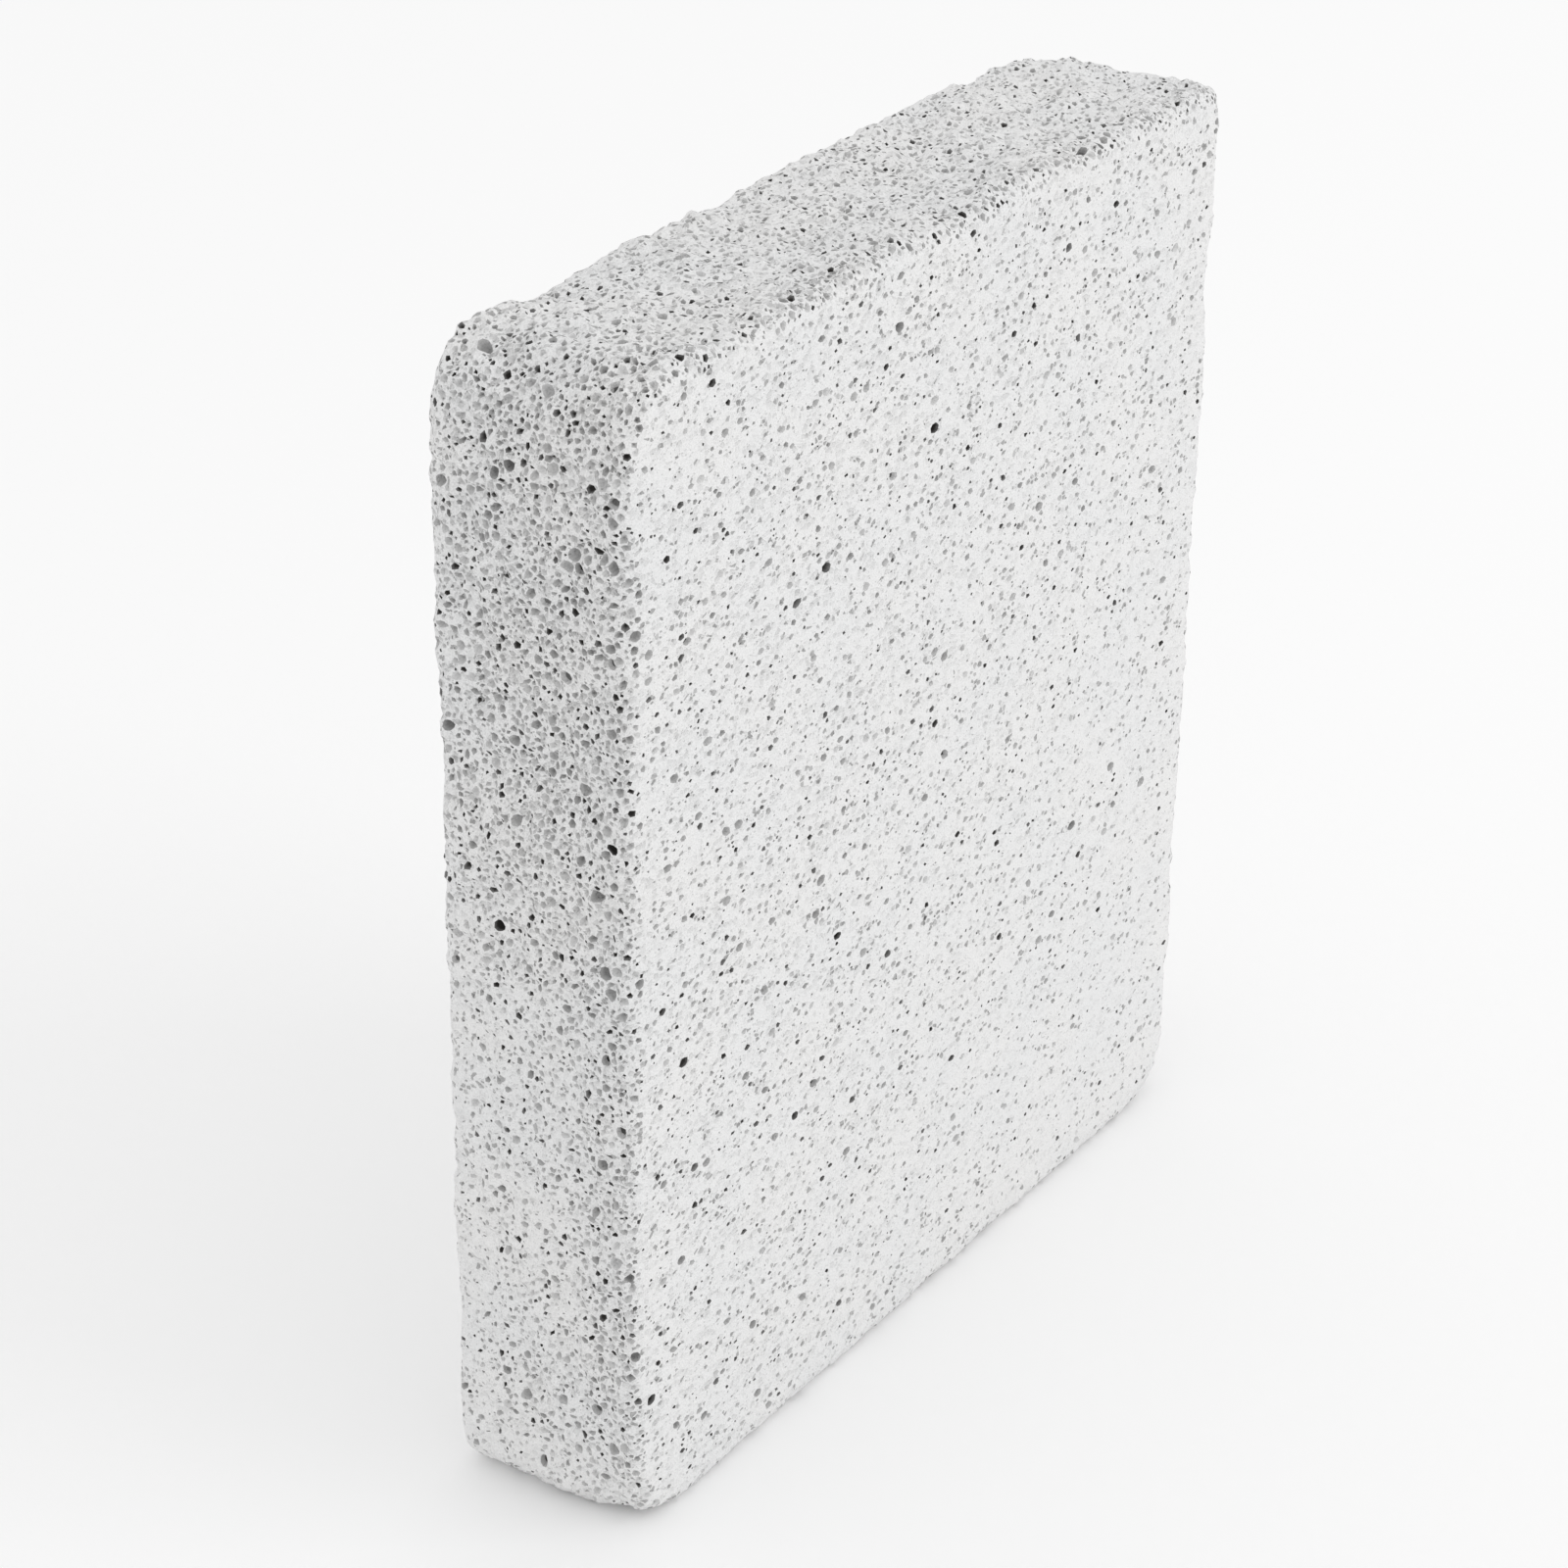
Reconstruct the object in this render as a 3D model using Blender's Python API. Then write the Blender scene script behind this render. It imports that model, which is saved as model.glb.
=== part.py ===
"""Pumice stone: one slab of foamed stone, standing on its narrow lower side.

Metres, +Z up. The origin is the middle of the lower side, where the slab rests. The two broad
faces look along -Y and +Y and are ground flat. The narrow sides, the corners and the edges are
worn uneven, apart from the flat on the lower side that the slab stands on.
"""

import math

import bmesh
import bpy
from mathutils import Vector, noise

# Driving dimensions of the slab.
HEIGHT = 0.100
WIDTH = 0.086
THICKNESS = 0.0185

# The four corners seen from the front: upper right, upper left, lower left and lower right.
CORNER_RADII = (0.0028, 0.006, 0.0035, 0.007)

# The long edges between the broad faces and the narrow sides, and how much their radius varies.
EDGE_RADIUS = 0.0014
EDGE_VARIATION = 0.0005
EDGE_LENGTH = 0.008

# How far the narrow sides wander from true, over what length, and how high above the foot the
# wander reaches its full size.
SIDE_WANDER = 0.0005
WANDER_LENGTH = 0.0075
FOOT_FADE = 0.004

# Places where an edge is rubbed away: a point on the edge, how far the wear reaches, its depth.
WORN_SPOTS = (
    ((-0.0415, -0.0090, 0.0015), 0.0060, 0.0012),
    ((-0.0300, 0.0090, 0.1000), 0.0050, 0.0005),
    ((0.0420, 0.0090, 0.0990), 0.0060, 0.0006),
    ((0.0250, 0.0095, 0.0000), 0.0060, 0.0007),
    ((0.0425, -0.0090, 0.0840), 0.0060, 0.0005),
    ((0.0430, 0.0090, 0.0400), 0.0070, 0.0007),
)

# Mesh spacing: along the outline, across a narrow side, and the steps of each round.
OUTLINE_STEP = 0.002
SIDE_STEPS = 5
CORNER_STEPS = 6
EDGE_STEPS = 4

STONE_COLOUR = (0.76, 0.76, 0.75, 1.0)
STONE_ROUGHNESS = 0.95
SHARP_ANGLE = math.radians(40)


def clear_scene():
    for old in list(bpy.data.objects):
        bpy.data.objects.remove(old, do_unlink=True)


def outline():
    """The slab's outline in the XZ plane, anticlockwise, as points with their outward directions."""
    quadrants = ((1, 1), (-1, 1), (-1, -1), (1, -1))
    centres = []
    for radius, (side, level) in zip(CORNER_RADII, quadrants):
        x = side * (WIDTH / 2 - radius)
        z = HEIGHT / 2 + level * (HEIGHT / 2 - radius)
        centres.append(Vector((x, 0, z)))
    places = []
    for corner, (centre, radius) in enumerate(zip(centres, CORNER_RADII)):
        for step in range(CORNER_STEPS + 1):
            angle = (corner + step / CORNER_STEPS) * math.pi / 2
            outward = Vector((math.cos(angle), 0, math.sin(angle)))
            places.append((centre + outward * radius, outward))
        following = (corner + 1) % len(centres)
        start = places[-1][0]
        run = centres[following] + outward * CORNER_RADII[following] - start
        count = round(run.length / OUTLINE_STEP)
        for step in range(1, count):
            places.append((start + run * (step / count), outward))
    return places


def wander(point):
    """How far the narrow side stands out of true at a point, nothing at the foot."""
    share = min(1.0, point.z / FOOT_FADE)
    return share * SIDE_WANDER * noise.noise(point / WANDER_LENGTH)


def wear(point):
    """How deep the point is rubbed away by the worn spots around it."""
    depth = 0.0
    for spot, reach, deepest in WORN_SPOTS:
        nearness = max(0.0, 1 - (point - Vector(spot)).length_squared / reach ** 2)
        depth = max(depth, deepest * nearness ** 2)
    return depth


def edge_radius(point, side):
    """The radius of the edge beside a point of the outline, at the front (-1) or the back (1)."""
    offset = Vector((0, 10 * side, 0))
    return EDGE_RADIUS + EDGE_VARIATION * noise.noise(point / EDGE_LENGTH + offset)


def cross_section(place, outward):
    """The points across the rim at one place on the outline, from the front face to the back."""
    front_radius = edge_radius(place, -1)
    back_radius = edge_radius(place, 1)
    front = front_radius - THICKNESS / 2
    back = THICKNESS / 2 - back_radius
    angles = [step / EDGE_STEPS * math.pi / 2 for step in range(EDGE_STEPS + 1)]
    profile = []
    for angle in angles:
        profile.append((front_radius * (1 - math.sin(angle)), front - front_radius * math.cos(angle)))
    for step in range(1, SIDE_STEPS):
        profile.append((0.0, front + (back - front) * step / SIDE_STEPS))
    for angle in angles:
        profile.append((back_radius * (1 - math.cos(angle)), back + back_radius * math.sin(angle)))
    points = []
    for inset, y in profile:
        point = place - outward * inset + Vector((0, y, 0))
        points.append(point + outward * (wander(point) - wear(point)))
    return points


def build_stone():
    """The slab: the rim's cross-sections bridged all the way round, and the two flat faces."""
    bm = bmesh.new()
    rings = []
    for place, outward in outline():
        rings.append([bm.verts.new(point) for point in cross_section(place, outward)])
    for here, there in zip(rings, rings[1:] + rings[:1]):
        for corners in zip(here, here[1:], there[1:], there):
            bm.faces.new(corners)
    bm.faces.new([ring[0] for ring in rings])
    bm.faces.new([ring[-1] for ring in rings])
    bmesh.ops.recalc_face_normals(bm, faces=bm.faces)
    mesh = bpy.data.meshes.new("pumice_stone")
    bm.to_mesh(mesh)
    bm.free()
    mesh.shade_smooth()
    mesh.set_sharp_from_angle(angle=SHARP_ANGLE)
    stone = bpy.data.objects.new("pumice_stone", mesh)
    bpy.context.scene.collection.objects.link(stone)
    return stone


def stone_material():
    material = bpy.data.materials.new("pumice")
    material.use_nodes = True
    shader = material.node_tree.nodes["Principled BSDF"]
    shader.inputs["Base Color"].default_value = STONE_COLOUR
    shader.inputs["Roughness"].default_value = STONE_ROUGHNESS
    shader.inputs["Metallic"].default_value = 0.0
    return material


clear_scene()
stone = build_stone()
stone.data.materials.append(stone_material())
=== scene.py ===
"""Pumice stone: the looks of one upright slab of foamed stone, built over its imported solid.

Metres, +Z up. The two broad faces look along -Y and +Y, and the slab stands on its lower side.
"""

import math
import random

import bpy
import numpy as np
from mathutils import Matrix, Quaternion, Vector, geometry, kdtree, noise


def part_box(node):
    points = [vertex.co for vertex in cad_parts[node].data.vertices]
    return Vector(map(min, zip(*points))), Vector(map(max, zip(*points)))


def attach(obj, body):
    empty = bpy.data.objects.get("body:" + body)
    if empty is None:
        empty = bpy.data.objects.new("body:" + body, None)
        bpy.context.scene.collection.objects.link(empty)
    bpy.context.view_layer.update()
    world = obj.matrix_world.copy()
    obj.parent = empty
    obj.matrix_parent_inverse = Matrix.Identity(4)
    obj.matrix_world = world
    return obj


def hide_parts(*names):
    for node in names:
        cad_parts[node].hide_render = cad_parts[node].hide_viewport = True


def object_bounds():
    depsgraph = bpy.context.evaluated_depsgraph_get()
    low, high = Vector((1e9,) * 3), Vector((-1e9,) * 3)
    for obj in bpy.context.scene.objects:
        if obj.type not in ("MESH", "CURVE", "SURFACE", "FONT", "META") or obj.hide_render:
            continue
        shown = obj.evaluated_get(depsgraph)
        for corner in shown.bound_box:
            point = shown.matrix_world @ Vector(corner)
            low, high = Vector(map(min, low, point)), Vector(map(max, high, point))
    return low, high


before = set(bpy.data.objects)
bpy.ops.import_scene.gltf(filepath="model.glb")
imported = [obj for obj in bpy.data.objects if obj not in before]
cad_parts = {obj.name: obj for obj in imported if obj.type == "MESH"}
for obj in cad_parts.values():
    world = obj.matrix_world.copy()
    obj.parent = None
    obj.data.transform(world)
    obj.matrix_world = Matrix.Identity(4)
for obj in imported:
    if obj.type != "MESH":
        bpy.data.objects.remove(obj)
solid_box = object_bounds()

scene = bpy.context.scene
scene.view_settings.view_transform = "Standard"


# ---- Camera ------------------------------------------------------------------------------------
# A long lens, above the slab and to the left of it, so that the left side, the front and the top
# all show. The camera leans a little and looks slightly to the left of the slab's middle.

CAMERA_AZIMUTH = math.radians(-56.02)
CAMERA_HEIGHT_ANGLE = math.radians(27.8)
CAMERA_LEAN = math.radians(0.64)
CAMERA_DISTANCE = 0.3461
LENS = 94.5
SENSOR = 36.0
LOOK_LEFT = 0.0052
LOOK_DOWN = 0.0019
NEAREST_SEEN = 0.01

solid_low, solid_high = solid_box
middle = Vector((0, 0, (solid_low.z + solid_high.z) / 2))
across_floor = math.cos(CAMERA_HEIGHT_ANGLE)
towards_camera = Vector((math.sin(CAMERA_AZIMUTH) * across_floor,
                         -math.cos(CAMERA_AZIMUTH) * across_floor,
                         math.sin(CAMERA_HEIGHT_ANGLE)))
turn = towards_camera.to_track_quat("Z", "Y") @ Quaternion((0, 0, 1), CAMERA_LEAN)
look_at = middle + turn @ Vector((-LOOK_LEFT, -LOOK_DOWN, 0))

lens = bpy.data.cameras.new("camera")
lens.lens = LENS
lens.sensor_width = SENSOR
lens.clip_start = NEAREST_SEEN
camera = bpy.data.objects.new("camera", lens)
camera.rotation_mode = "QUATERNION"
camera.rotation_quaternion = turn
camera.location = look_at + towards_camera * CAMERA_DISTANCE
scene.collection.objects.link(camera)
scene.camera = camera


# ---- Studio ------------------------------------------------------------------------------------
# A plain white floor under an even white sky, and one large soft lamp to the front and right of
# the slab, aimed at its middle. The left side gets the least light.

FLOOR_SIZE = 6.0
FLOOR_COLOUR = (0.97, 0.97, 0.97, 1.0)
SKY_COLOUR = (1.0, 1.0, 1.0, 1.0)
SKY_STRENGTH = 0.925
LAMP_PLACE = Vector((0.35, -0.95, 0.70))
LAMP_SIZE = 0.7
LAMP_POWER = 2.1

floor_mesh = bpy.data.meshes.new("floor")
reach = FLOOR_SIZE / 2
floor_corners = [(-reach, -reach, 0), (reach, -reach, 0), (reach, reach, 0), (-reach, reach, 0)]
floor_mesh.from_pydata(floor_corners, [], [(0, 1, 2, 3)])
floor = bpy.data.objects.new("floor", floor_mesh)
scene.collection.objects.link(floor)
floor_paint = bpy.data.materials.new("floor_paint")
floor_paint.use_nodes = True
floor_shader = floor_paint.node_tree.nodes["Principled BSDF"]
floor_shader.inputs["Base Color"].default_value = FLOOR_COLOUR
floor_shader.inputs["Roughness"].default_value = 1.0
floor_shader.inputs["Specular IOR Level"].default_value = 0.0
floor_mesh.materials.append(floor_paint)

sky = bpy.data.worlds.new("sky")
sky.use_nodes = True
sky_glow = sky.node_tree.nodes["Background"]
sky_glow.inputs["Color"].default_value = SKY_COLOUR
sky_glow.inputs["Strength"].default_value = SKY_STRENGTH
scene.world = sky

lamp = bpy.data.lights.new("front_lamp", "AREA")
lamp.size = LAMP_SIZE
lamp.energy = LAMP_POWER
lamp_stand = bpy.data.objects.new("front_lamp", lamp)
lamp_stand.location = LAMP_PLACE
lamp_stand.rotation_mode = "QUATERNION"
lamp_stand.rotation_quaternion = (LAMP_PLACE - middle).to_track_quat("Z", "Y")
scene.collection.objects.link(lamp_stand)


# ---- The foamed stone --------------------------------------------------------------------------
# One slab sawn from a block of foamed stone, with its two broad faces ground flat, so that only
# small pits show there. The narrow sides and worn edges are open foam: round cells cut through, with
# thin pale walls between them.

NODE = "pumice_stone"
MM = 0.001

# The true slab inside the worn one, as the solid has it: the worn sides' bumps stand PROUD of it.
PROUD = 0.35 * MM
low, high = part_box(NODE)
WIDTH = high.x - low.x - 2 * PROUD
HEIGHT = high.z - low.z - PROUD
THICKNESS = high.y - low.y

# Its corners, seen from the front: upper right, upper left, lower left and lower right. Its long
# edges' radius varies along the outline.
CORNER_RADII = (2.8 * MM, 6.0 * MM, 3.5 * MM, 7.0 * MM)
EDGE_RADIUS = 1.4 * MM
EDGE_VARIATION = 0.5 * MM
EDGE_LENGTH = 8.0 * MM

# How far the narrow sides wander from true, over what length, and the height above the foot at
# which that is full. The worn spots are in millimetres: a point on an edge, the wear's reach, its
# depth.
SIDE_WANDER = 0.5 * MM
WANDER_LENGTH = 7.5 * MM
FOOT_FADE = 4.0 * MM
WORN_SPOTS = (
    ((-41.5, -9.0, 1.5), 6.0, 1.2),
    ((-30.0, 9.0, 100.0), 5.0, 0.5),
    ((42.0, 9.0, 99.0), 6.0, 0.6),
    ((25.0, 9.5, 0.0), 6.0, 0.7),
    ((42.5, -9.0, 84.0), 6.0, 0.5),
    ((43.0, 9.0, 40.0), 7.0, 0.7),
)

# Lumps of the broken cells on the narrow sides: their length and size, from coarse to fine, and
# the height above the foot at which they are full.
LUMPS = ((2.6 * MM, 0.28 * MM), (1.4 * MM, 0.32 * MM), (0.8 * MM, 0.34 * MM))
LUMPS_FADE = 1.2 * MM

# Shifts that keep the noises of the two edges, the lumps and the patches of foam apart.
EDGE_SHIFTS = ((0, -10, 0), (0, 10, 0))
LUMPS_SHIFT = (7, 3, 5)
PATCHES_SHIFT = (1, 2, 3)
BREAKS_SHIFT = (4, 1, 6)

# The rim is unrolled into a strip: along the outline, and across from one broad face to the other.
# Across, it is a quarter turn of the front edge, the narrow side and a quarter turn of the back edge.
QUARTER = math.pi / 2 * EDGE_RADIUS
SIDE = THICKNESS - 2 * EDGE_RADIUS
ACROSS = 2 * QUARTER + SIDE


def stretches():
    """The outline's arcs and straight runs in turn, anticlockwise seen from the front.

    Each is its length, the centre of the corner it starts from, that corner's radius, the angle
    it starts at, its bend (turn for each metre) and the direction of a straight run.
    """
    quadrants = ((1, 1), (-1, 1), (-1, -1), (1, -1))
    centres = [(side * (WIDTH / 2 - radius), HEIGHT / 2 + level * (HEIGHT / 2 - radius))
               for radius, (side, level) in zip(CORNER_RADII, quadrants)]
    rows = []
    for corner, (centre, radius) in enumerate(zip(centres, CORNER_RADII)):
        angle = corner * math.pi / 2
        rows.append((radius * math.pi / 2, *centre, radius, angle, 1 / radius, 0, 0))
        angle += math.pi / 2
        after = centres[(corner + 1) % 4]
        run = abs(after[corner % 2] - centre[corner % 2])
        rows.append((run, *centre, radius, angle, 0, -math.sin(angle), math.cos(angle)))
    return np.array(rows)


STRETCHES = stretches()
STARTS = np.concatenate([[0], np.cumsum(STRETCHES[:, 0])])
PERIMETER = STARTS[-1]


def outline_at(along):
    """The true outline's x and z, its outward direction's x and z, and its bend."""
    along = np.mod(along, PERIMETER)
    row = np.searchsorted(STARTS[:-1], along, side="right") - 1
    _, centre_x, centre_z, radius, angle, bend, run_x, run_z = STRETCHES[row].T
    gone = along - STARTS[row]
    angle = angle + gone * bend
    out_x, out_z = np.cos(angle), np.sin(angle)
    x = centre_x + radius * out_x + gone * run_x
    z = centre_z + radius * out_z + gone * run_z
    return x, z, out_x, out_z, bend


def noise_at(points, length, offset=(0, 0, 0)):
    """Smooth noise with bumps of about this length, at each point."""
    shift = Vector(offset)
    return np.array([noise.noise(Vector(point) / length + shift) for point in points.tolist()])


EDGE_PLACES = np.linspace(0, PERIMETER, 1000)


def edge_radii():
    """The worn edges' radii at the edge places, at the front and at the back."""
    x, z, *_ = outline_at(EDGE_PLACES)
    places = np.stack([x, 0 * x, z], 1)
    return [EDGE_RADIUS + EDGE_VARIATION * noise_at(places, EDGE_LENGTH, shift)
            for shift in EDGE_SHIFTS]


FRONT_RADII, BACK_RADII = edge_radii()


def worn_depth(points):
    """How deep each point is rubbed away by the worn spots."""
    depth = np.zeros(len(points))
    for spot, reach, deepest in WORN_SPOTS:
        away = ((points - np.array(spot) * MM) ** 2).sum(1)
        nearness = np.clip(1 - away / (reach * MM) ** 2, 0, 1)
        depth = np.maximum(depth, deepest * MM * nearness ** 2)
    return depth


def rim_surface(along, across):
    """Points of the worn rim with their normals, and the rim's stretch along and across there."""
    along, across = np.asarray(along, float), np.asarray(across, float)
    x, z, out_x, out_z, bend = outline_at(along)
    front = np.interp(np.mod(along, PERIMETER), EDGE_PLACES, FRONT_RADII)
    back = np.interp(np.mod(along, PERIMETER), EDGE_PLACES, BACK_RADII)
    front_turn = np.clip(across / QUARTER, 0, 1) * math.pi / 2
    back_turn = np.clip((across - QUARTER - SIDE) / QUARTER, 0, 1) * math.pi / 2
    middle_share = np.clip((across - QUARTER) / SIDE, 0, 1)
    beyond = np.maximum(0, -across) + np.maximum(0, across - ACROSS)
    inset = front * (1 - np.sin(front_turn)) + back * (1 - np.cos(back_turn)) + beyond
    y = front * (1 - np.cos(front_turn)) + (THICKNESS - front - back) * middle_share
    y += back * np.sin(back_turn) - THICKNESS / 2
    outward = np.stack([out_x, 0 * x, out_z], 1)
    points = np.stack([x, y, z], 1) - outward * inset[:, None]
    foot = np.clip(points[:, 2] / FOOT_FADE, 0, 1)
    shift = foot * SIDE_WANDER * noise_at(points, WANDER_LENGTH) - worn_depth(points)
    points += outward * shift[:, None]
    tilt = front_turn + back_turn - math.pi / 2
    normals = outward * np.cos(tilt)[:, None]
    normals[:, 1] = np.sin(tilt)
    rough = np.clip(points[:, 2] / LUMPS_FADE, 0, 1) * np.sin(front_turn) * np.cos(back_turn)
    lumps = sum(size * noise_at(points, length, LUMPS_SHIFT) for length, size in LUMPS)
    points += normals * (rough * lumps)[:, None]
    stretch_along = 1 - inset * bend
    stretch_across = np.where(back_turn > 0, back / EDGE_RADIUS, 1)
    stretch_across = np.where(front_turn < math.pi / 2, front / EDGE_RADIUS, stretch_across)
    return points, normals, stretch_along, stretch_across


# The seams that join the strip to the broad faces, and the strip to itself. Each goes to and fro,
# so that no straight line shows between the pits. Its corners are spaced unevenly, by a share of
# the step. Close-set places along it, ten to a step, are its fence.
SEAM_STEP = 1.0 * MM
SEAM_SPAN = (-0.3 * MM, 0.5 * MM)
SEAM_UNEVEN = 0.5
CUT_SWING = 0.45 * MM
FENCE_STEP = 0.1
FENCE_REACH = 0.03 * MM

draw = random.Random(7)


def edge_seam(mirror):
    """A seam's places along and across the strip, just off a broad face."""
    count = round(PERIMETER / SEAM_STEP)
    along = np.array([step + SEAM_UNEVEN * (draw.random() - 0.5) for step in range(count)])
    along[0] = 0
    across = np.array([draw.uniform(*SEAM_SPAN) for step in range(count)])
    return along / count * PERIMETER, ACROSS - across if mirror else across


def cut_seam(front, back):
    """Places of the cut across the strip, between its ends on the two edge seams."""
    count = round((back - front) / SEAM_STEP)
    across = np.linspace(front, back, count + 1)[1:-1]
    return np.array([draw.uniform(-CUT_SWING, CUT_SWING) for place in across]), across


front_seam = edge_seam(False)
back_seam = edge_seam(True)
cut = cut_seam(front_seam[1][0], back_seam[1][0])

# Pits. Each has a radius that it keeps to itself; its rim then grows past that, until it meets its
# neighbours' walls. To find what is near a place, space is divided into cubes.
WALL = 0.07 * MM
CUBE = 1.3 * MM
NEIGHBOURS = [(i, j, k) for i in (-1, 0, 1) for j in (-1, 0, 1) for k in (-1, 0, 1)]
cubes = {}


def keep_clear(point, reach):
    """Marks a place as taken."""
    home = tuple(math.floor(c / CUBE) for c in point)
    cubes.setdefault(home, []).append((*point, reach))


def is_free(point, reach):
    """Whether a pit here clears everything already there by a wall's thickness."""
    x, y, z = point
    i, j, k = (math.floor(c / CUBE) for c in point)
    for di, dj, dk in NEIGHBOURS:
        for ox, oy, oz, other in cubes.get((i + di, j + dj, k + dk), ()):
            apart = reach + other + WALL
            if (x - ox) ** 2 + (y - oy) ** 2 + (z - oz) ** 2 < apart * apart:
                return False
    return True


def closed_loop(seam):
    """The seam with its first place again at its end, one perimeter further along."""
    along, across = seam
    return np.append(along, along[0] + PERIMETER), np.append(across, across[0])


def fence(along, across):
    """Close-set places on a seam, given by its corners on the strip, that keep the pits off it."""
    shares = np.arange(0, 1, FENCE_STEP)
    steps = [line[:-1] + np.outer(shares, np.diff(line)) for line in (along, across)]
    places = np.stack([line.ravel() for line in steps], 1)
    points, *_ = rim_surface(*places.T)
    for point in points.tolist():
        keep_clear(point, FENCE_REACH)
    return places, points


front_fence, front_points = fence(*closed_loop(front_seam))
back_fence, back_points = fence(*closed_loop(back_seam))
cut_fence, _ = fence(np.concatenate([[0], cut[0], [0]]),
                     np.concatenate([[front_seam[1][0]], cut[1], [back_seam[1][0]]]))


def scatter(tries):
    """Places drawn on the strip, between its two edge seams and from the cut to the cut again."""
    along = np.array([draw.uniform(0, PERIMETER) for _ in range(tries)])
    across = np.array([draw.uniform(0, ACROSS) for _ in range(tries)])
    cut_at = np.interp(across, cut[1], cut[0])
    along = np.where(along < cut_at, along + PERIMETER, along)
    along = np.where(along > cut_at + PERIMETER, along - PERIMETER, along)
    front = np.interp(np.mod(along, PERIMETER), *closed_loop(front_seam))
    back = np.interp(np.mod(along, PERIMETER), *closed_loop(back_seam))
    inside = (across > front) & (across < back)
    return along[inside], across[inside]


# How open the foam is, from 0, closed, to 1, all cells cut open. A span is where a change starts and
# where it is complete. The left side opens up with height, a little less so at the back, beside
# its front edge, and low down. It is at least LEFT_LEAST open, apart from its rubbed foot.
LEFT_SPAN = (35 * MM, 40 * MM)
LEFT_BACK_SPAN = (2 * MM, 9 * MM)
LEFT_UPPER_SPAN = (22 * MM, 72 * MM)
LEFT_UPPER_BACK = 0.75
LEFT_FRONT_SPAN = (0.5 * MM, 5.5 * MM)
LEFT_FRONT = 0.80
LEFT_LOW_SPAN = (14 * MM, 24 * MM)
LEFT_LOW_FRONT_SPAN = (0, 6 * MM)
LEFT_LOW = 0.60
LEFT_LEAST = 0.42
LEFT_LEAST_BACK = 0.20
LEFT_FOOT_SPAN = (3 * MM, 9 * MM)
LEFT_FOOT = 0.6

# The top is a little less open to the right, and has fewer of the large cells. Its front edge is
# broken open in places.
TOP_SPAN = (92 * MM, 98 * MM)
TOP_OPEN = 0.56
TOP_FALL = 0.08
TOP_COARSE = 0.25
BREAKS_SPAN = (5.5 * MM, 7.5 * MM)
BREAKS_OPEN = 0.85
BREAKS_SWING = 0.9
BREAKS_LENGTH = 5 * MM

# The right side and the underside are open in patches, swinging about SIDE_OPEN, and beside their
# edges. The underside is less open.
SIDE_OPEN = 0.34
SIDE_SWING = 0.8
SIDE_LENGTH = 17 * MM
SIDE_LIMITS = (0.15, 0.9)
SIDE_EDGE_SPAN = (6 * MM, 8 * MM)
SIDE_EDGE = 0.6
UNDERSIDE_SPAN = (0, 2 * MM)
UNDERSIDE = 0.5


def rise(value, span):
    """0 up to the span's start, 1 from its end on, and a smooth rise between."""
    start, end = span
    share = np.clip((value - start) / (end - start), 0, 1)
    return share * share * (3 - 2 * share)


def blend(low_end, high_end, share):
    """low_end where share is 0, high_end where it is 1, and evenly between."""
    return low_end + (high_end - low_end) * share


def left_openness(y, z):
    """How open the left side is at each point."""
    at_back = rise(y, LEFT_BACK_SPAN)
    upper = rise(z, LEFT_UPPER_SPAN) * blend(1, LEFT_UPPER_BACK, at_back)
    beside_front = LEFT_FRONT * rise(-y, LEFT_FRONT_SPAN)
    low_front = LEFT_LOW * (1 - rise(z, LEFT_LOW_SPAN)) * (1 - rise(y, LEFT_LOW_FRONT_SPAN))
    least = blend(LEFT_LEAST, LEFT_LEAST_BACK, at_back)
    share = np.maximum(np.maximum(upper, beside_front), np.maximum(low_front, least))
    return share * blend(LEFT_FOOT, 1, rise(z, LEFT_FOOT_SPAN))


def top_openness(points, coarse):
    """How open the top is at each point. coarse is 1 for large cells and 0 for small ones."""
    x, y, _ = points.T
    even = (TOP_OPEN - TOP_FALL * x / (WIDTH / 2)) * blend(1, TOP_COARSE, coarse)
    broken = BREAKS_OPEN + BREAKS_SWING * noise_at(points, BREAKS_LENGTH, BREAKS_SHIFT)
    return np.maximum(even, broken * rise(-y, BREAKS_SPAN))


def side_openness(points):
    """How open the right side and the underside are at each point."""
    patches = SIDE_OPEN + SIDE_SWING * noise_at(points, SIDE_LENGTH, PATCHES_SHIFT)
    beside_edges = SIDE_EDGE * rise(np.abs(points[:, 1]), SIDE_EDGE_SPAN)
    return np.clip(np.maximum(patches, beside_edges), *SIDE_LIMITS)


def openness(points, coarse=0.0):
    """How open the rim's foam is at each point. coarse is 1 for large cells and 0 for small ones."""
    x, y, z = points.T
    rest = blend(side_openness(points), top_openness(points, coarse), rise(z, TOP_SPAN))
    rest *= blend(UNDERSIDE, 1, rise(z, UNDERSIDE_SPAN))
    return np.clip(blend(rest, left_openness(y, z), rise(-x, LEFT_SPAN)), 0, 1)


# How thickly pits lie on a broad face: less so to the right, and more so towards the top.
FACE_PITTED = 0.80
FACE_FALL = 0.32
FACE_RISE = 0.24
FACE_LEAST = 0.35


def face_density(x, z):
    across, up = x / (WIDTH / 2), 2 * z / HEIGHT - 1
    return np.clip(FACE_PITTED - FACE_FALL * across + FACE_RISE * up, FACE_LEAST, 1)


# Sizes of pits from large to small: how many are tried, and the range of their radii in
# millimetres. Those wider than COARSE count as large cells. The back face gets a share of the tries.
RIM_TRIES = ((420, 0.36, 0.48), (3600, 0.26, 0.36), (24000, 0.17, 0.26), (27000, 0.11, 0.17))
FACE_TRIES = ((200, 0.32, 0.42), (1200, 0.22, 0.32), (2600, 0.15, 0.22), (3000, 0.09, 0.15))
COARSE = 0.2
BACK_SHARE = 0.5

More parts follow.
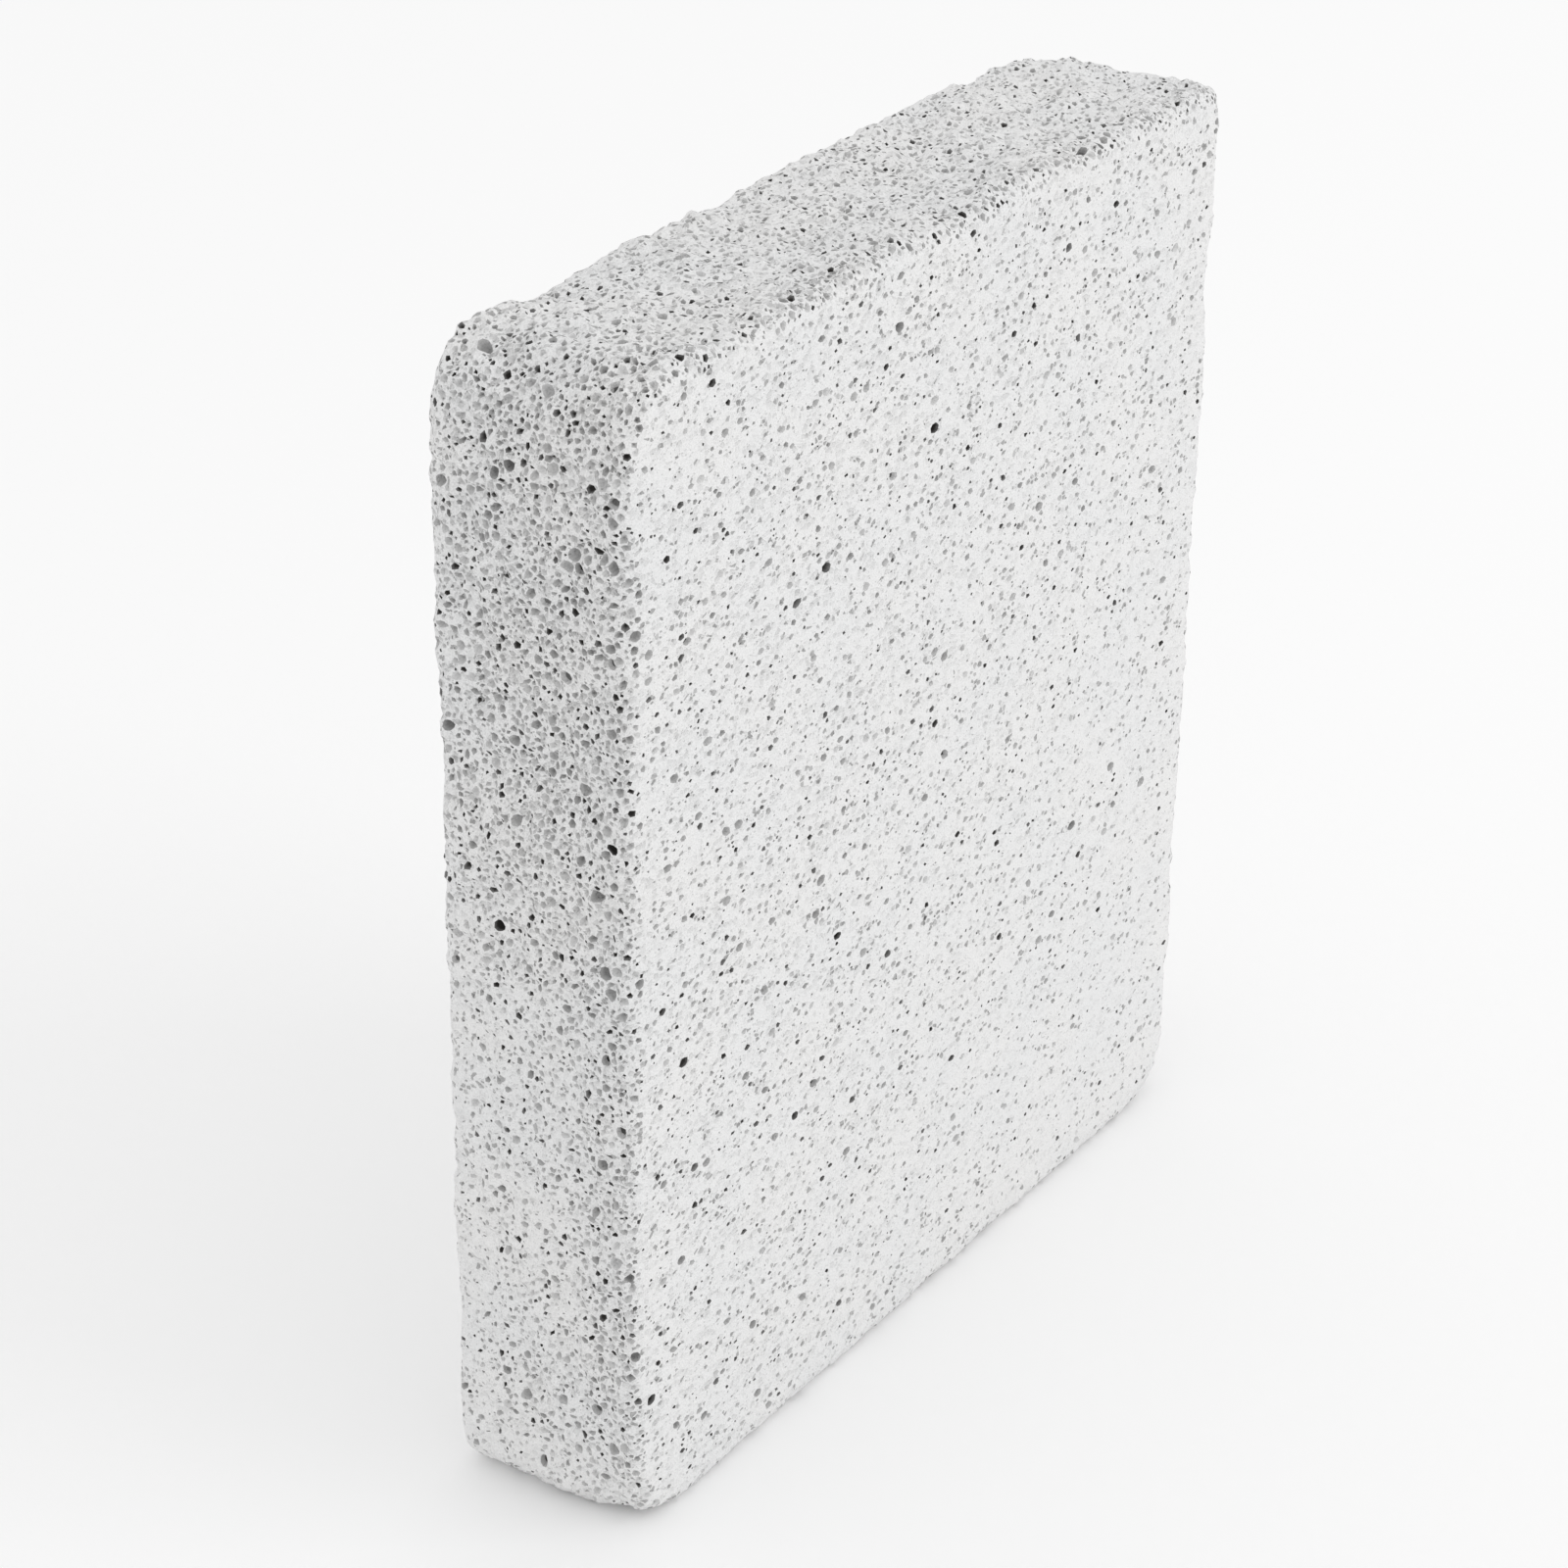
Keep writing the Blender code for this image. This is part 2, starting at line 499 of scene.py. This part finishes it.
# A pit's rim has this many corners up to each radius in millimetres. They are unevenly spaced by a
# share of their angle, unevenly far out, and all turned by up to MOST_TURNED radians. The pit's
# deepest place wanders off its middle by a share of the radius. Its depth, in radii, is given for a
# pale cell and for a nearly black one.
RIM_CORNERS = ((0.20, 4), (0.28, 5), (0.34, 6), (0.40, 7), (9.0, 9))
CORNERS_UNEVEN = 0.5
CORNERS_OUT = (0.82, 1.0)
MOST_TURNED = 6
OFF_MIDDLE = 0.2
DEPTHS = (0.8, 1.7)

# The widest pits have a floor of their own inside the wall, and some of these floors get more painted
# shade, for a dark hole into a deeper cell.
FLOOR_FROM = 0.40 * MM
FLOOR_WIDTH = 0.68
FLOOR_DEPTH = 0.8
SHADED_FLOORS = 0.35
FLOOR_MORE_SHADE = (0.2, 0.6)

# A cell's painted shade, drawn at random for each cell, from 0, as pale as the land between the
# cells, to 1, nearly black. Nearly black ones are this many times as common up to each radius in
# millimetres: the small cells get the most painted shade, because light reaches the floor of a large
# one.
BLACK_SHADES = (0.85, 1.10)
GREY_SHADES = (0.38, 0.66)
PALE_SHADES = (0.20, 0.42)
BLACK_BY_SIZE = ((0.21, 1.7), (0.30, 1.0), (9.0, 0.45))


class Pit:
    """One open cell: its middle on its chart, its radius, how far its rim grows, its painted shade.

    It is long times as long as wide, and its length lies at the angle lie. Its deepest place is off
    its middle by drift, in radii.
    """

    def __init__(self, place, radius, stretch, growth, shade, lie, long, drift):
        self.place = np.array(place)
        self.radius = radius
        self.stretch = np.array(stretch)
        self.growth = growth
        self.shade = shade
        self.depth = radius * blend(*DEPTHS, shade)
        self.floor_shade = shade
        self.has_floor = radius > FLOOR_FROM
        # Some floors get extra painted shade, for a hole into a deeper cell.
        if self.has_floor and draw.random() < SHADED_FLOORS:
            self.floor_shade = min(1, shade + draw.uniform(*FLOOR_MORE_SHADE))
        self.corners = next(count for widest, count in RIM_CORNERS if radius < widest * MM)
        corners = range(self.corners)
        self.angles = np.array([corner + CORNERS_UNEVEN * draw.random() for corner in corners])
        self.angles = self.angles / self.corners * 2 * math.pi + draw.uniform(0, MOST_TURNED)
        self.lie = lie
        self.long = long
        self.uneven = np.array([draw.uniform(*CORNERS_OUT) for corner in corners])
        wander = np.array([draw.uniform(-OFF_MIDDLE, OFF_MIDDLE) for axis in "uv"])
        self.drift = (np.array(drift) + wander) * radius


def shade_of(radius, black, grey):
    """A cell's painted shade, given the shares of nearly black cells and of grey ones."""
    pick = draw.random()
    black *= next(times for widest, times in BLACK_BY_SIZE if radius < widest * MM)
    if pick < black:
        return draw.uniform(*BLACK_SHADES)
    if pick < black + grey:
        return draw.uniform(*GREY_SHADES)
    return draw.uniform(*PALE_SHADES)


# Cells of the rim: the shares of nearly black and of grey ones in closed foam and in open foam, how
# far their rims grow and what open foam adds to that, and how much longer than wide they are at
# most. No cell lies where a corner squeezes the strip below TIGHTEST.
RIM_BLACK = (0.10, 0.14)
RIM_GREY = (0.32, 0.46)
RIM_GROWTH = 1.05
RIM_OPENING = (0.1, 0.5)
RIM_LONGER = 0.9
TIGHTEST = 0.4

# The cells' deepest places lie off their middles: up the left side and down the right one, and
# elsewhere on the rim towards the back. On the broad faces they lie upwards. A cell's painted shade
# is darkest at its deepest place, so each cell is darker on that side.
SIDES_FROM = 38 * MM
SIDES_DRIFT = (-0.3, 0)
DRIFT = (0, 0.3)


def rim_pits():
    """The pits of the narrow sides and the worn edges, on the strip."""
    pits = []
    for tries, smallest, largest in RIM_TRIES:
        along, across = scatter(tries)
        points, _, stretch_along, stretch_across = rim_surface(along, across)
        open_share = openness(points, float(smallest > COARSE))
        for index in np.flatnonzero(stretch_along > TIGHTEST).tolist():
            radius = draw.uniform(smallest, largest) * MM
            lucky = draw.random()
            black = blend(*RIM_BLACK, open_share[index])
            shade = shade_of(radius, black, blend(*RIM_GREY, open_share[index]))
            if lucky > open_share[index] * stretch_along[index]:
                continue
            point = points[index].tolist()
            if not is_free(point, radius):
                continue
            keep_clear(point, radius)
            stretch = stretch_along[index], stretch_across[index]
            growth = RIM_GROWTH + open_share[index] * draw.uniform(*RIM_OPENING)
            lie = draw.uniform(0, math.pi)
            long = 1 + RIM_LONGER * draw.random() ** 2
            drift = SIDES_DRIFT if abs(point[0]) > SIDES_FROM else DRIFT
            pits.append(Pit((along[index], across[index]), radius, stretch, growth, shade, lie,
                            long, drift))
    return pits


def is_inside(polygon, x, z):
    """Which of the points lie inside the polygon."""
    inside = np.zeros(len(x), bool)
    for (ax, az), (bx, bz) in zip(polygon, np.roll(polygon, -1, axis=0)):
        if az != bz:
            at = ax + (z - az) * (bx - ax) / (bz - az)
            inside ^= ((az > z) != (bz > z)) & (x < at)
    return inside


# Cells of the broad faces. They are wider sideways than upwards, and longest along FACE_LIE.
FACE_BLACK = 0.20
FACE_GREY = 0.48
FACE_GROWTH = (1.0, 1.3)
FACE_STRETCH = (0.8, 1)
FACE_LIE = (-1.0, 0.25)
FACE_LONG = (1.1, 1.6)


def face_pits(side, seam):
    """The pits of the broad face at the front (side -1) or at the back (side 1)."""
    points, *_ = rim_surface(*seam)
    polygon = points[:, (0, 2)]
    pits = []
    for tries, smallest, largest in FACE_TRIES:
        count = round(tries * (BACK_SHARE if side > 0 else 1))
        x = np.array([draw.uniform(low.x, high.x) for _ in range(count)])
        z = np.array([draw.uniform(low.z, high.z) for _ in range(count)])
        inside = is_inside(polygon, x, z)
        for index in np.flatnonzero(inside).tolist():
            radius = draw.uniform(smallest, largest) * MM
            lucky = draw.random()
            shade = shade_of(radius, FACE_BLACK, FACE_GREY)
            if lucky > face_density(x[index], z[index]):
                continue
            point = (x[index], side * THICKNESS / 2, z[index])
            if not is_free(point, radius):
                continue
            keep_clear(point, radius)
            growth = draw.uniform(*FACE_GROWTH)
            lie = draw.uniform(*FACE_LIE)
            long = draw.uniform(*FACE_LONG)
            pits.append(Pit((x[index], z[index]), radius, FACE_STRETCH, growth, shade, lie, long,
                            DRIFT))
    return pits


# The land between the pits of the rim gets places of its own, this far from pits and each other.
LAND_TRIES = 14000
LAND_REACH = 0.28 * MM


def land_places():
    """Places on the strip between the pits, so that the land follows the worn surface."""
    along, across = scatter(LAND_TRIES)
    points, *_ = rim_surface(along, across)
    kept = []
    for index, point in enumerate(points.tolist()):
        if is_free(point, LAND_REACH):
            keep_clear(point, LAND_REACH)
            kept.append((along[index], across[index]))
    return np.array(kept)


# How far a pit looks for neighbours, how squarely one has to face a rim's corner to hold it back,
# and the growth of a corner that nothing holds back.
SIGHT = 1.8 * MM
FACING = 0.01
UNLIMITED = 1.0


def grow_rims(found, fences, fence_stretch, land):
    """Gives each pit its rim. It grows to its full size, or to the walls between it and others.

    Other pits, the fences and the land's places all hold it back, as places of radius 0 do. A
    chart's stretch turns its distances into true ones.
    """
    places = np.concatenate([[pit.place for pit in found], fences, land])
    stretches = np.concatenate([[pit.stretch for pit in found], fence_stretch,
                                np.ones((len(land), 2))])
    radii = np.concatenate([[pit.radius for pit in found], np.zeros(len(fences) + len(land))])
    tree = kdtree.KDTree(len(places))
    for index, (u, v) in enumerate(places):
        tree.insert((u, v, 0), index)
    tree.balance()
    for own, pit in enumerate(found):
        around = tree.find_range((*pit.place, 0), SIGHT / pit.stretch.min())
        near = [index for _, index, _ in around if index != own]
        metric = (stretches[near] + pit.stretch) / 2
        step = (places[near] - pit.place) * metric
        apart = np.hypot(step[:, 0], step[:, 1])
        wall = (apart ** 2 + pit.radius ** 2 - radii[near] ** 2) / (2 * apart) - WALL / 2
        aims = np.stack([np.cos(pit.angles), np.sin(pit.angles)], 1) / pit.stretch
        closing = (aims[:, None] * metric * step / apart[:, None]).sum(2)
        turned = pit.angles - pit.lie
        full = pit.radius * pit.growth * pit.uneven * pit.long ** 0.5
        full /= np.hypot(np.cos(turned), np.sin(turned) * pit.long)
        held = np.where(closing > FACING, wall / np.maximum(closing, FACING), UNLIMITED)
        reach = np.minimum(held.min(1, initial=UNLIMITED), full)
        pit.rim = pit.place + aims * reach[:, None]
        pit.deepest = pit.place + pit.drift / pit.stretch


pits = {"rim": rim_pits()}
pits["front"] = face_pits(-1, front_seam)
pits["back"] = face_pits(1, back_seam)
land = land_places()
strip_fences = np.concatenate([front_fence, back_fence, cut_fence, cut_fence + (PERIMETER, 0)])
_, _, fence_along, fence_across = rim_surface(*strip_fences.T)
grow_rims(pits["rim"], strip_fences, np.stack([fence_along, fence_across], 1), land)
NO_LAND = np.zeros((0, 2))
for face_name, seam_points in (("front", front_points), ("back", back_points)):
    grow_rims(pits[face_name], seam_points[:, (0, 2)], np.ones((len(seam_points), 2)), NO_LAND)


class Shell:
    """The stone's mesh as it is put together from its three charts: the strip and two faces.

    Each point has how far it is sunk into a pit, and each triangle its painted shade and its places
    on the texture map. rims holds the pits' rim edges.
    """

    def __init__(self):
        self.points = []
        self.sunk = []
        self.triangles = []
        self.shades = []
        self.places = []
        self.rims = []

    def add(self, points, sunk):
        """Adds points and gives their numbers."""
        first = len(self.points)
        self.points.extend(points.tolist())
        self.sunk.extend([sunk] * len(points))
        return list(range(first, first + len(points)))


# The triangulation keeps only what is inside the loops, and joins places closer than this, in
# millimetres.
INSIDE_ONLY = 1
TOO_CLOSE = 1e-7


def triangulate(shell, border, border_ids, loose, loose_ids, found, to_points, flip, to_map):
    """Fills one chart: flat land between the pits' rims, and each pit's own walls and floor.

    border is the chart's outline, loose its other land places, and found its pits. to_points gives
    the points and normals of places on the chart, and to_map their places on the texture map.
    """
    places = [tuple(place) for place in border] + [tuple(place) for place in loose]
    ids = list(border_ids) + list(loose_ids)
    loops = [list(range(len(border)))]
    starts = []
    for pit in found:
        starts.append(len(places))
        loops.append(list(range(len(places), len(places) + pit.corners)))
        places.extend(tuple(place) for place in pit.rim)
    rims, _ = to_points(places[len(ids):])
    ids += shell.add(rims, 0.0)
    flat = [Vector((u / MM, v / MM)) for u, v in places]
    _, _, faces, sources, _, owners = geometry.delaunay_2d_cdt(
        flat, [], loops, INSIDE_ONLY, TOO_CLOSE)
    crossed = [source for source in sources if len(source) != 1]
    assert not crossed, "two rims cross"
    back_to = [source[0] for source in sources]

    def put(triangle, shade, spots):
        if flip:
            triangle, spots = triangle[::-1], spots[::-1]
        shell.triangles.append(triangle)
        shell.shades.append(shade)
        shell.places.append(to_map(spots))

    for face, owner in zip(faces, owners):
        if len(owner) == 1:
            corners = [back_to[corner] for corner in face]
            put([ids[corner] for corner in corners], 0.0, [places[corner] for corner in corners])
    middles, outward = to_points([pit.place for pit in found])
    deep_points, _ = to_points([pit.deepest for pit in found])
    for index, (pit, start) in enumerate(zip(found, starts)):
        rim = ids[start:start + pit.corners]
        rim_spots = places[start:start + pit.corners]
        down = outward[index] * pit.depth
        bottom = shell.add((deep_points[index] - down)[None], 1.0)[0]
        inner, inner_spots = rim, rim_spots
        pairs = [(a, (a + 1) % pit.corners) for a in range(pit.corners)]
        shell.rims.extend((rim[a], rim[b]) for a, b in pairs)
        if pit.has_floor:
            wall = np.array([shell.points[corner] for corner in rim])
            ring = middles[index] + (wall - middles[index]) * FLOOR_WIDTH - FLOOR_DEPTH * down
            inner = shell.add(ring, FLOOR_DEPTH)
            floor_spots = pit.place + (pit.rim - pit.place) * FLOOR_WIDTH
            inner_spots = [tuple(spot) for spot in floor_spots]
            for a, b in pairs:
                put([rim[a], rim[b], inner[b]], pit.shade,
                    [rim_spots[a], rim_spots[b], inner_spots[b]])
                put([rim[a], inner[b], inner[a]], pit.shade,
                    [rim_spots[a], inner_spots[b], inner_spots[a]])
        for a, b in pairs:
            put([inner[a], inner[b], bottom], pit.floor_shade,
                [inner_spots[a], inner_spots[b], tuple(pit.deepest)])


# The texture map: the broad faces side by side, and the strip in four lengths above them, two by
# two.
MAP_GAP = 2.0 * MM
STRIP_PARTS = 4
STRIP_LENGTH = PERIMETER / STRIP_PARTS
MAP_SIZE = 2 * STRIP_LENGTH + 3 * MAP_GAP


def on_strip(spots):
    """Where a triangle of the strip lies on the texture map, all of it on one length."""
    middle_along = sum(u for u, v in spots) / 3
    part = int(min(STRIP_PARTS - 1, max(0, middle_along // STRIP_LENGTH)))
    left = MAP_GAP + (part % 2) * (STRIP_LENGTH + MAP_GAP) - part * STRIP_LENGTH
    bottom = HEIGHT + 2 * MAP_GAP + (part // 2) * (ACROSS + MAP_GAP)
    return [((u + left) / MAP_SIZE, (v + bottom) / MAP_SIZE) for u, v in spots]


def on_face(left):
    """Gives the function that places a broad face on the texture map, left this far along."""
    return lambda spots: [((u + left) / MAP_SIZE, (v + MAP_GAP) / MAP_SIZE) for u, v in spots]


def rim_points(places):
    """Points and normals of places on the strip."""
    along, across = np.array(places).reshape(-1, 2).T
    points, normals, _, _ = rim_surface(along, across)
    return points, normals


def face_points(side):
    """Gives the function that finds points and normals of places on a broad face."""
    def found(places):
        x, z = np.array(places).reshape(-1, 2).T
        points = np.stack([x, np.full(len(x), side * THICKNESS / 2), z], 1)
        return points, np.tile((0.0, side, 0.0), (len(x), 1))
    return found


def mark_rims(mesh, rims):
    """Keeps the pits' rims crisp."""
    ends = np.zeros(len(mesh.edges) * 2, np.int64)
    mesh.edges.foreach_get("vertices", ends)
    ends = np.sort(ends.reshape(-1, 2), 1)
    rims = np.sort(np.array(rims), 1)
    many = len(mesh.vertices)
    crisp = np.isin(ends[:, 0] * many + ends[:, 1], rims[:, 0] * many + rims[:, 1])
    mesh.attributes.new("sharp_edge", "BOOLEAN", "EDGE").data.foreach_set("value", crisp)


# How open the foam counts on a broad face, as a share of its pits' density, and how far inside the
# face's edge the rim's openness gives way to it.
FACE_FOAM = 0.5
FACE_FOAM_SPAN = (0.1 * MM, 0.7 * MM)


def build_stone():
    """Puts the strip and the two faces together as one closed mesh.

    Its attributes steer the finish: shade is a triangle's painted shade, 0 on the land, sunk how deep
    a point is in its pit, and foam how open the foam is around it.
    """
    shell = Shell()
    front, _ = rim_points(np.stack(front_seam, 1))
    back, _ = rim_points(np.stack(back_seam, 1))
    across_cut, _ = rim_points(np.stack(cut, 1))
    front_ids = shell.add(front, 0.0)
    back_ids = shell.add(back, 0.0)
    cut_ids = shell.add(across_cut, 0.0)
    land_there, _ = rim_points(land)
    land_ids = shell.add(land_there, 0.0)
    front_line = list(zip(*closed_loop(front_seam)))
    back_line = list(zip(*closed_loop(back_seam)))
    cut_line = list(zip(*cut))
    cut_far = [(u + PERIMETER, v) for u, v in cut_line]
    border = front_line + cut_far + back_line[::-1] + cut_line[::-1]
    border_ids = (front_ids + front_ids[:1] + cut_ids + back_ids[:1] + back_ids[::-1]
                  + cut_ids[::-1])
    triangulate(shell, border, border_ids, land, land_ids, pits["rim"], rim_points, True, on_strip)
    lefts = (MAP_GAP + WIDTH / 2, MAP_GAP + WIDTH / 2 + STRIP_LENGTH + MAP_GAP)
    faces = (("front", -1, front, front_ids), ("back", 1, back, back_ids))
    for (name, side, seam, ids), left in zip(faces, lefts):
        triangulate(shell, seam[:, (0, 2)], ids, NO_LAND, [], pits[name], face_points(side),
                    side > 0, on_face(left))
    mesh = bpy.data.meshes.new("foamed_stone")
    mesh.from_pydata(shell.points, [], shell.triangles)
    # Each pit triangle's painted shade; the land's triangles have none.
    mesh.attributes.new("shade", "FLOAT", "FACE").data.foreach_set("value", shell.shades)
    mesh.attributes.new("sunk", "FLOAT", "POINT").data.foreach_set("value", shell.sunk)
    points = np.array(shell.points)
    off_faces = rise(THICKNESS / 2 - np.abs(points[:, 1]), FACE_FOAM_SPAN)
    face_foam = FACE_FOAM * face_density(points[:, 0], points[:, 2])
    foam = blend(face_foam, openness(points), off_faces)
    mesh.attributes.new("foam", "FLOAT", "POINT").data.foreach_set("value", foam)
    bake_map = mesh.uv_layers.new(name="OFBake")
    bake_map.uv.foreach_set("vector", np.array(shell.places, np.float32).ravel())
    mesh.shade_smooth()
    mark_rims(mesh, shell.rims)
    stone = bpy.data.objects.new("foamed_stone", mesh)
    scene.collection.objects.link(stone)
    return stone


stone = build_stone()


class Value:
    """A shader socket that takes part in sums: each operation on it adds a Math node."""

    def __init__(self, tree, socket):
        self.tree = tree
        self.socket = socket

    def node(self, kind, settings, sockets):
        """Adds a node. Its settings are set first, and then its sockets by name or number."""
        made = self.tree.nodes.new(kind)
        for name, setting in settings.items():
            setattr(made, name, setting)
        for name, value in sockets.items():
            if isinstance(value, Value):
                self.tree.links.new(value.socket, made.inputs[name])
            else:
                made.inputs[name].default_value = value
        return made

    def wrap(self, socket):
        return Value(self.tree, socket)

    def maths(self, operation, *values):
        made = self.node("ShaderNodeMath", {"operation": operation}, dict(enumerate(values)))
        return self.wrap(made.outputs[0])

    def __add__(self, other):
        return self.maths("ADD", self, other)

    def __sub__(self, other):
        return self.maths("SUBTRACT", self, other)

    def __rsub__(self, other):
        return self.maths("SUBTRACT", other, self)

    def __mul__(self, other):
        return self.maths("MULTIPLY", self, other)

    __radd__ = __add__
    __rmul__ = __mul__

    def ramp(self, start, end):
        """0 up to start, 1 from end on, and a smooth rise between."""
        made = self.node("ShaderNodeMapRange", {"interpolation_type": "SMOOTHSTEP"},
                         {"Value": self, "From Min": start, "From Max": end})
        return self.wrap(made.outputs["Result"])


# The stone's finish: matt, nearly white, a little warmer and cooler in patches, with a fine grain.
# The open cells are painted grey to nearly black, as painted shade that deepens towards their
# bottoms, and closed ones show as faint grey shapes of painted shade.
LAND_WARM = (0.850, 0.847, 0.844, 1.0)
LAND_COOL = (0.837, 0.839, 0.841, 1.0)
# The dark colour of the painted shade in cells and pores, and of the stone's specks and grain.
SHADE_AND_GRAIN_DARK = (0.032, 0.030, 0.028, 1.0)
STONE_ROUGHNESS = 0.95
STONE_GLOSS = 0.2

# What lies on the land between the open cells: the length of its cells in millimetres, where their
# walls give way to their inside, and the tones of those that show. All are stretched sideways.
SIDEWAYS = 0.75
CLOSED_CELLS = (0.50, (0.06, 0.10), (0.35, 1.0))
PORES = (0.45, (0.10, 0.17), (0.88, 0.95))
SPECKS = (0.20, (0.10, 0.22), (0.76, 0.95))
GRAIN_LENGTH = 0.14
GRAIN_SPAN = (0.38, 0.62)
TINT_LENGTH = 9.0
TINT_SPAN = (0.35, 0.65)

# How much each dims the land: closed cells and pores with painted shade, specks and grain with their
# own tone. A pair holds for closed foam and for open foam.
CLOSED_PAINTED_SHADE = 0.31
CLOSED_SHOWN = (0.04, 1.0)
PORES_PAINTED_SHADE = 0.45
SPECKS_DIM = (0.14, 0.36)
GRAIN_DIM = (0.06, 0.16)

# Closed cells have this much painted shade at mid height, and more upwards, as shade under their
# upper walls. Open ones have their painted shade times these at their rims and at their bottoms, so
# it deepens into the pit. A shade within LAND_SPAN counts as land in part.
CLOSED_SHADE_MIDDLE, CLOSED_SHADE_UPWARDS = 0.85, 0.7
OPEN_PAINTED_SHADE = (0.80, 1.25)
LAND_SPAN = (0.0, 0.08)

# The relief of the land: how much lower closed cells and pores lie, and how much higher the grain.
RELIEF = 0.10 * MM
GROUND = 0.5
CLOSED_LOWER = 0.5
PORES_LOWER = 0.4
GRAIN_HIGHER = 0.8


def stone_finish():
    material = bpy.data.materials.new("foamed_stone")
    material.use_nodes = True
    tree = material.node_tree
    shader = tree.nodes["Principled BSDF"]
    shader.inputs["Specular IOR Level"].default_value = STONE_GLOSS
    shader.inputs["Roughness"].default_value = STONE_ROUGHNESS
    start = Value(tree, None)
    place = start.wrap(start.node("ShaderNodeTexCoord", {}, {}).outputs["Object"])
    scaled = start.node("ShaderNodeVectorMath", {"operation": "MULTIPLY"},
                        {0: place, 1: (SIDEWAYS / MM, 1 / MM, 1 / MM)})
    in_mm = start.wrap(scaled.outputs[0])

    def clouds(length, detail):
        """Cloudy noise with clouds of about this length in millimetres."""
        made = start.node("ShaderNodeTexNoise", {},
                          {"Vector": in_mm, "Scale": 1 / length, "Detail": detail})
        return start.wrap(made.outputs["Fac"])

    def cells(length):
        """How far inside its cell a place is, its cell's tone, and its height above its middle.

        The height counts towards the top, and half as much towards the back.
        """
        sizes = {"Vector": in_mm, "Scale": 1 / length}
        edge = start.node("ShaderNodeTexVoronoi", {"feature": "DISTANCE_TO_EDGE"}, sizes)
        cell = start.node("ShaderNodeTexVoronoi", {}, sizes)
        tone = start.node("ShaderNodeSeparateColor", {},
                          {"Color": start.wrap(cell.outputs["Color"])})
        away = start.node("ShaderNodeVectorMath", {"operation": "SUBTRACT"},
                          {0: in_mm, 1: start.wrap(cell.outputs["Position"])})
        lift = start.node("ShaderNodeVectorMath", {"operation": "DOT_PRODUCT"},
                          {0: start.wrap(away.outputs[0]), 1: (0, 0.5 / length, 1 / length)})
        found = edge.outputs["Distance"], tone.outputs[0], lift.outputs["Value"]
        return [start.wrap(socket) for socket in found]

    def cells_seen(length, walls, tones):
        """1 inside the cells that show and 0 elsewhere, and how high up in its cell each place is."""
        inside, tone, lift = cells(length)
        return inside.ramp(*walls) * tone.ramp(*tones), lift

    def mix(share, first, second):
        """The first colour where share is 0, and the second where it is 1."""
        made = start.node("ShaderNodeMix", {"data_type": "RGBA"}, {0: share, 6: first, 7: second})
        return start.wrap(made.outputs[2])

    def attribute(name):
        made = start.node("ShaderNodeAttribute", {"attribute_name": name}, {})
        return start.wrap(made.outputs["Fac"])

    shade = attribute("shade")
    sunk = attribute("sunk")
    foam = attribute("foam")

    # Only the pits' triangles have a shade, so the land is where there is none.
    land = 1 - shade.ramp(*LAND_SPAN)
    closed, lift = cells_seen(*CLOSED_CELLS)
    # Painted shade: closed cells darken the land, more towards their upper walls.
    closed = closed * land * (CLOSED_SHADE_MIDDLE + CLOSED_SHADE_UPWARDS * lift)
    closed = closed * blend(*CLOSED_SHOWN, foam)
    pores, _ = cells_seen(*PORES)
    pores = pores * land
    specks, _ = cells_seen(*SPECKS)
    fine = clouds(GRAIN_LENGTH, 3.0)
    grain = 1 - fine.ramp(*GRAIN_SPAN)

    # Closed cells and pores darken the land as painted shade; specks and grain are the stone's own
    # tone.
    shade_and_grain_dimming = closed * CLOSED_PAINTED_SHADE + pores * PORES_PAINTED_SHADE
    shade_and_grain_dimming = shade_and_grain_dimming + specks * blend(*SPECKS_DIM, foam) + grain * blend(*GRAIN_DIM, foam)
    tint = clouds(TINT_LENGTH, 2.0)
    land_colour = mix(tint.ramp(*TINT_SPAN), LAND_COOL, LAND_WARM)
    land_colour = mix(shade_and_grain_dimming, land_colour, SHADE_AND_GRAIN_DARK)
    # Painted shade in the open cells: each pit is darkened by its shade, more so towards its bottom.
    colour = mix(shade * blend(*OPEN_PAINTED_SHADE, sunk), land_colour, SHADE_AND_GRAIN_DARK)
    tree.links.new(colour.socket, shader.inputs["Base Color"])

    height = GROUND - closed * CLOSED_LOWER - pores * PORES_LOWER + fine * GRAIN_HIGHER
    bump = start.node("ShaderNodeBump", {}, {"Strength": 1.0, "Distance": RELIEF, "Height": height})
    tree.links.new(bump.outputs["Normal"], shader.inputs["Normal"])
    return material


stone.data.materials.append(stone_finish())
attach(stone, "root")
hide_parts(NODE)
